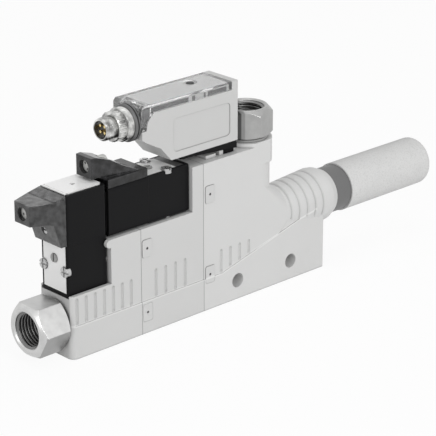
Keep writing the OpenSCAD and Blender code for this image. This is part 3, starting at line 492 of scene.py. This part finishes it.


# The painted shade steps lie at places on the part: a painted shadow of the sensor on the second valve's end
# plate, painted shade on the lower and the upper faces of the supply fitting's hexagon, painted shade and a
# painted reflection of the sensor on the vacuum fitting's face beside it, and painted shade on the two plugs'
# sides below where their tops begin.
quarter = math.radians(90)
plastics = {
    # the body and the horn take a painted highlight along their ledge
    "bodyPlastic": plastic((0.59, 0.59, 0.585), 0.48, tone=0.05, edge=0.0002, ledgeGain=0.22),
    "hornPlastic": plastic((0.625, 0.625, 0.62), 0.48, tone=0.05, edge=0.0002, ledgeGain=0.22),
    "sensorPlastic": plastic((0.555, 0.555, 0.55), 0.42, tone=0.04, grainScale=3000.0),
    "valvePlastic": plastic((0.007, 0.007, 0.0075), 0.40, specular=0.09, tone=0.20, relief=0.16, edge=0.0003),
    "platePlastic": plastic((0.95, 0.95, 0.945), 0.30, tone=0.04, relief=0.05),
    # the end plate with a painted shadow of the sensor over its far end
    "plateShaded": plastic((0.95, 0.95, 0.945), 0.30, tone=0.04, relief=0.05,
                           dull={"soft": 0.0006, "steps": ((0.0508, 0.0, 0.90),)}),
    "buttonPlastic": plastic((0.36, 0.36, 0.355), 0.36, relief=0.08),
    "collarPlastic": plastic((0.14, 0.14, 0.14), 0.45, tone=0.30, edge=0.0003),
    "nozzlePlastic": plastic((0.74, 0.73, 0.69), 0.40, tone=0.04),
    "insertPlastic": plastic((0.66, 0.66, 0.64), 0.45, tone=0.05),
    "framePlastic": plastic((0.95, 0.95, 0.945), 0.50, tone=0.04),
    "displayDark": plastic((0.05, 0.05, 0.052), 0.20, tone=0.6, grainScale=1600.0),
    "sealRubber": plastic((0.030, 0.030, 0.031), 0.62, grainScale=3600.0, tone=0.20, relief=0.20),
    # nearly black, for the foot's dark plate and the painted shadow in the gap under the sensor
    "footPlastic": plastic((0.006, 0.006, 0.0065), 0.55, tone=0.10, specular=0.1),
    "boardDark": plastic((0.09, 0.094, 0.098), 0.34, tone=0.30, edge=0.0001),
    "ringDark": plastic((0.13, 0.13, 0.131), 0.32, grainScale=3600.0, tone=0.9, relief=0.25),
    "insertGrey": plastic((0.46, 0.46, 0.461), 0.40, grainScale=3000.0, tone=0.6),
    "seatPlastic": plastic((0.42, 0.42, 0.415), 0.50),
    "seamShade": plastic((0.20, 0.20, 0.20), 0.60),
}
metals = {
    # painted shade on the lower and the upper faces of the supply hexagon
    "portMetal": metal((0.60, 0.60, 0.595), 0.34, pitchScale=1500.0, edge=0.00025, stain=0.35,
                       dull={"axis": "Z", "soft": 0.0003, "past": -0.0119,
                             "steps": ((0.0121, 0.42, 0.0), (0.0210, 0.0, 0.14))}),
    "threadMetal": metal((0.20, 0.20, 0.198), 0.34, pitchScale=1500.0, stain=0.5),
    "nozzleMetal": metal((0.72, 0.56, 0.28), 0.28, pitchScale=1800.0, relief=0.15),
    "screwMetal": metal((0.50, 0.50, 0.50), 0.30, relief=0.15),
    "sleeveMetal": metal((0.50, 0.50, 0.49), 0.20, stain=3.2, relief=0.10),
    "pinGold": metal((0.72, 0.56, 0.26), 0.22, pitchScale=3600.0, edge=0.00005),
    "armatureSteel": metal((0.50, 0.50, 0.51), 0.30, relief=0.15),
    # painted shade and a painted reflection of the sensor on the vacuum hexagon's face beside it
    "portMetalUp": metal((0.40, 0.40, 0.395), 0.34, pitchScale=1500.0, edge=0.00025, stain=0.35,
                         turn=(0, quarter, 0),
                         dull={"soft": 0.0003, "steps": ((0.0839, 0.70, 0.0), (0.0849, 0.34, 0.0))}),
}
porous = {"color": (0.66, 0.66, 0.655), "roughness": 0.85, "specular": 0.25, "beadScale": 1900.0,
          "pores": 0.10, "edge": 0.0003, "relief": 0.3, "depth": 0.0002}
clears = {
    # painted shade on the plug's sides below its top
    "plugSmoke": clear((0.13, 0.13, 0.132), 0.14, ior=1.55, clear=0.45, mottle=5.0,
                       dull={"axis": "Z", "soft": 0.0002, "steps": ((0.0587, 0.55, 0.0),)}),
    # a darker copy of the plug, as painted shade for the second plug under the sensor
    "plugSmokeShaded": clear((0.018, 0.018, 0.019), 0.18, ior=1.5, clear=0.20, mottle=6.0,
                      dull={"axis": "Z", "soft": 0.0002, "steps": ((0.0605, 0.50, 0.0),)}),
    "coverClear": clear((0.95, 0.952, 0.953), 0.05, ior=1.3, clear=0.93, edge=0.0003),
}
materials = {name: plasticMaterial(name, look) for name, look in plastics.items()}
materials.update({name: metalMaterial(name, look) for name, look in metals.items()})
materials["silencerPorous"] = sinteredMaterial("silencerPorous", porous)
materials.update({name: clearMaterial(name, look) for name, look in clears.items()})
print("materials built:", len(materials))

# which material each node of the part takes
dress = {
    "valve_base_1": "bodyPlastic", "valve_base_2": "bodyPlastic", "ejector_housing": "hornPlastic",
    "module_clips": "bodyPlastic", "supply_port": "portMetal", "supply_seal": "sealRubber",
    "vacuum_port": "portMetalUp", "vacuum_seal": "seatPlastic", "jet_nozzle": "nozzleMetal",
    "receiver_nozzle": "nozzlePlastic", "nozzle_seals": "sealRubber", "silencer_collar": "collarPlastic",
    "silencer": "silencerPorous", "sensor_foot": "footPlastic", "sensor_housing": "sensorPlastic",
    "sensor_cover": "coverClear", "sensor_board": "boardDark", "sensor_frame": "framePlastic",
    "sensor_display": "displayDark", "sensor_button": "sealRubber", "connector_ring": "ringDark",
    "connector_sleeve": "sleeveMetal", "connector_insert": "insertGrey", "connector_pins": "pinGold",
}
valveDress = {
    "body": "valvePlastic", "coil": "valvePlastic", "end_plate": "platePlastic", "override": "buttonPlastic",
    "screws": "screwMetal", "gasket": "sealRubber", "cap": "platePlastic", "armature": "armatureSteel",
    "plug": "plugSmoke", "plug_insert": "insertPlastic", "plug_screw": "screwMetal",
}
for number in ("1", "2"):
    dress.update({f"valve_{number}_{piece}": look for piece, look in valveDress.items()})
# the second valve's cap is black; its end plate takes a painted shadow of the sensor, and its plug is a
# darker, painted-shade copy of the first one's
dress.update({"valve_2_cap": "valvePlastic", "valve_2_end_plate": "plateShaded", "valve_2_plug": "plugSmokeShaded"})
for name, obj in nodes.items():
    obj.data.materials.clear()
    obj.data.materials.append(materials[dress[name]])
print("nodes dressed")


def meshPiece(name, points, faces, material, smooth=False):
    # an object at the origin, from a row for each point and a row for each face
    mesh = bpy.data.meshes.new(name)
    mesh.from_pydata(points.tolist(), [], faces.tolist())
    mesh.polygons.foreach_set("use_smooth", np.full(len(faces), smooth))
    mesh.update()
    mesh.materials.append(materials[material])
    piece = bpy.data.objects.new(name, mesh)
    bpy.context.scene.collection.objects.link(piece)
    return piece


def gridPiece(name, points, material, body, smooth=True):
    # a closed ring of quads: each point joins the next one both ways, and the last ones join the first
    rows, columns = points.shape[:2]
    here = np.arange(rows * columns).reshape(rows, columns)
    ahead = np.roll(here, -1, 0)
    faces = np.stack([here, ahead, np.roll(ahead, -1, 1), np.roll(here, -1, 1)], -1).reshape(-1, 4)
    obj = meshPiece(name, points.reshape(-1, 3), faces, material, smooth)
    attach(obj, body)


def axisFrame(axis, nearY=0.9):
    # two directions across an axis, from cross products with Y, or with X where the axis is near Y: the
    # three make a right-handed set
    along = np.array(axis, float)
    along /= np.linalg.norm(along)
    side = np.cross(along, (0.0, 1.0, 0.0) if abs(along[1]) < nearY else (1.0, 0.0, 0.0))
    side /= np.linalg.norm(side)
    return along, side, np.cross(along, side)


threadTooth = {"top": 1.35, "slope": 3.4}  # cut off at 1, so that the crest is flat


def threadRing(name, thread, material, body):
    # A thread on a tube: along the axis the wall's radius is the root radius plus the depth times a
    # tooth wave, whose phase is distance over pitch less turn over one circle. It fades out at both
    # ends, and the tube's other wall is a plain cylinder, so the ring is closed.
    s = np.linspace(thread["start"], thread["end"], thread["steps"])
    angle = np.linspace(0, 2 * math.pi, thread["turnSteps"], endpoint=False)
    phase = np.mod(s[:, None] / thread["pitch"] - angle[None, :] / (2 * math.pi), 1.0)
    tooth = np.clip(threadTooth["top"] - threadTooth["slope"] * np.abs(phase - 0.5), 0.0, 1.0)
    fade = np.clip((s - s[0]) / thread["fade"], 0, 1) * np.clip((s[-1] - s) / thread["fade"], 0, 1)
    wall = thread["root"] + (thread["crest"] - thread["root"]) * tooth * fade[:, None]
    back = np.full((2, thread["turnSteps"]), thread["back"])
    radius = np.concatenate([wall, back], 0)
    reach = np.concatenate([s, s[::-1][[0, -1]]])
    along, side, across = axisFrame(thread["axis"])
    circle = np.cos(angle)[:, None] * side + np.sin(angle)[:, None] * across
    points = np.array(thread["at"]) + reach[:, None, None] * along + radius[:, :, None] * circle[None, :, :]
    if thread["crest"] > thread["back"]:
        points = points[::-1]  # an outer thread is turned round, so that its faces point outwards
    gridPiece(name, points, material, body)


portThread = {
    "pitch": 0.001337,
    "rootGap": 0.00002,  # from the bore's wall to the root
    "depth": 0.00086,
    "wall": 0.0003,  # how far the ring reaches into the metal
    "overrun": 0.0002,  # how far it goes past the mount's length
    "fade": 0.0006,
    "steps": 96,
    "turnSteps": 96,
}


def cutPortThread(name, mount, thread):
    # the pipe thread in a port: its root lies at the bore, and its crest a thread's depth inside
    bore = mounts[mount]
    radius, length = bore["dims"]["r_mm"] * mm, bore["dims"]["length_mm"] * mm
    threadRing(name, {
        **thread, "at": bore["pos_m"], "axis": bore["axis"],
        "start": -length / 2, "end": length / 2 + thread["overrun"], "root": radius - thread["rootGap"],
        "crest": radius - thread["depth"], "back": radius + thread["wall"],
    }, "threadMetal", "housing")


cutPortThread("supplyThread", "supply_port", portThread)
cutPortThread("vacuumThread", "vacuum_port", portThread)
print("port threads cut")

sensorPlug = mounts["sensor_plug"]
plugHalf = sensorPlug["dims"]["length_mm"] * mm / 2
sleeveThread = {
    "at": sensorPlug["pos_m"], "axis": (1, 0, 0), "start": -plugHalf, "end": plugHalf, "pitch": 0.001,
    "root": 0.00372, "crest": 0.00412, "back": 0.0036, "fade": 0.0004, "steps": 48, "turnSteps": 72,
}
threadRing("sleeveThread", sleeveThread, "sleeveMetal", "housing")
print("plug thread cut")

seamLine = {"width": 0.00016, "proud": 0.00002}
seams = {"seamOne": ("valve_base_1", "valve_base_2"), "seamTwo": ("valve_base_2", "ejector_housing")}


def seamFrame(name, seam):
    # A thin dark line round the body in the plane where two modules meet: a small square section,
    # as wide as the line and just proud of the faces, carried round a rectangle's corners.
    half = seam["width"] / 2
    section = np.array([(-half, -half), (half, -half), (half, seam["proud"]), (-half, seam["proud"])])
    y, z = seam["y"], seam["z"]
    corners = np.array([(y[0], z[0]), (y[1], z[0]), (y[1], z[1]), (y[0], z[1])])
    outwards = np.sign(corners - corners.mean(0))
    across = corners + outwards * section[:, 1, None, None]
    along = np.broadcast_to(seam["x"] + section[:, 0, None, None], (4, 4, 1))
    points = np.concatenate([along, across], -1)
    gridPiece(name, points, "seamShade", "housing", smooth=False)


# the body steps back above its ledge, so each seam is two rings
for name, (left, right) in seams.items():
    leftBox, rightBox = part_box(left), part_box(right)
    x, top = leftBox[1].x, min(leftBox[1].z, rightBox[1].z)
    front = max(leftBox[0].y, rightBox[0].y)
    stepped = front + ledge["depth"]
    low = {"x": x, "y": (front, -front), "z": (leftBox[0].z, ledge["height"])}
    high = {"x": x, "y": (stepped, -stepped), "z": (ledge["height"] - ledge["depth"], top)}
    seamFrame(name + "Low", {**seamLine, **low})
    seamFrame(name + "High", {**seamLine, **high})
print("seams drawn")


def wedgePiece(name, block, material):
    # A block between two places on X and two on Y: its top and its underside each run straight from
    # a height at the low X to a height at the high X.
    x, y = np.array(block["x"]), np.array(block["y"])
    end, side = np.array([0, 1, 1, 0]), np.array([0, 0, 1, 1])
    heights = (np.array(block["top"]), np.array(block["under"]))
    points = np.concatenate([np.stack([x[end], y[side], z[end]], -1) for z in heights])
    faces = np.array([(0, 1, 2, 3), (4, 7, 6, 5), (0, 4, 5, 1), (1, 5, 6, 2), (2, 6, 7, 3), (3, 7, 4, 0)])
    piece = meshPiece(name, points, faces, material)
    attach(piece, "housing")


coilLow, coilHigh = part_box("valve_1_coil")
capLow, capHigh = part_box("valve_1_cap")
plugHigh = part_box("valve_1_plug")[1]
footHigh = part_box("sensor_foot")[1]

# the first valve's light cap goes on as a thin edge over the rim of the coil
capEdge = {"rim": 0.0002, "lap": 0.0001, "thick": 0.0004}
capUnder = capHigh.z - capEdge["thick"]
wedgePiece("capEdge", {
    "x": (coilLow.x + capEdge["rim"], capLow.x + capEdge["lap"]), "y": (capLow.y, capHigh.y),
    "top": (capHigh.z, capHigh.z), "under": (capUnder, capUnder),
}, "platePlastic")

# the first plug rises to the top of the coil
plugSaddle = {"length": 0.0052, "gap": 0.00002, "half": 0.0069, "lift": 0.00005, "sink": 0.00001}
saddleUnder = plugHigh.z - plugSaddle["sink"]
wedgePiece("plugSaddle", {
    "x": (plugHigh.x - plugSaddle["length"], plugHigh.x - plugSaddle["gap"]),
    "y": (-plugSaddle["half"], plugSaddle["half"]),
    "top": (plugHigh.z + plugSaddle["lift"], coilHigh.z), "under": (saddleUnder, saddleUnder),
}, "plugSmoke")

# a black wedge under the sensor's foot, deeper towards its far end: partly the foot's dark plate, partly a
# painted shadow in the gap under the sensor
footPlateAndShadow = {"length": 0.0205, "inset": 0.0001, "half": 0.0072, "drop": 0.0010, "thin": 0.0003,
             "thick": 0.0019}
footTop = footHigh.z - footPlateAndShadow["drop"]
wedgePiece("footPlateAndShadow", {
    "x": (footHigh.x - footPlateAndShadow["length"], footHigh.x - footPlateAndShadow["inset"]),
    "y": (-footPlateAndShadow["half"], footPlateAndShadow["half"]),
    "top": (footTop, footTop), "under": (footTop - footPlateAndShadow["thin"], footTop - footPlateAndShadow["thick"]),
}, "footPlastic")


def ledgeHeight(x):
    # level up to the turn, and from there the slope times the distance past it is added
    return ledge["height"] + max(0.0, x - ledge["turn"]) * ledge["slope"]


# flat cheeks below the horn's belly, down to the ledge, where the horn's grooves run out
cheek = {"x": (0.090, 0.1125), "top": 0.0241, "outer": 0.00874, "inner": 0.0080, "sink": 0.0003}
cheekUnder = tuple(ledgeHeight(x) - cheek["sink"] for x in cheek["x"])
cheekSides = {"Left": (-cheek["outer"], -cheek["inner"]), "Right": (cheek["inner"], cheek["outer"])}
for side, across in cheekSides.items():
    wedgePiece("hornCheek" + side, {
        "x": cheek["x"], "y": across, "top": (cheek["top"], cheek["top"]), "under": cheekUnder,
    }, "hornPlastic")
print("blocks placed")
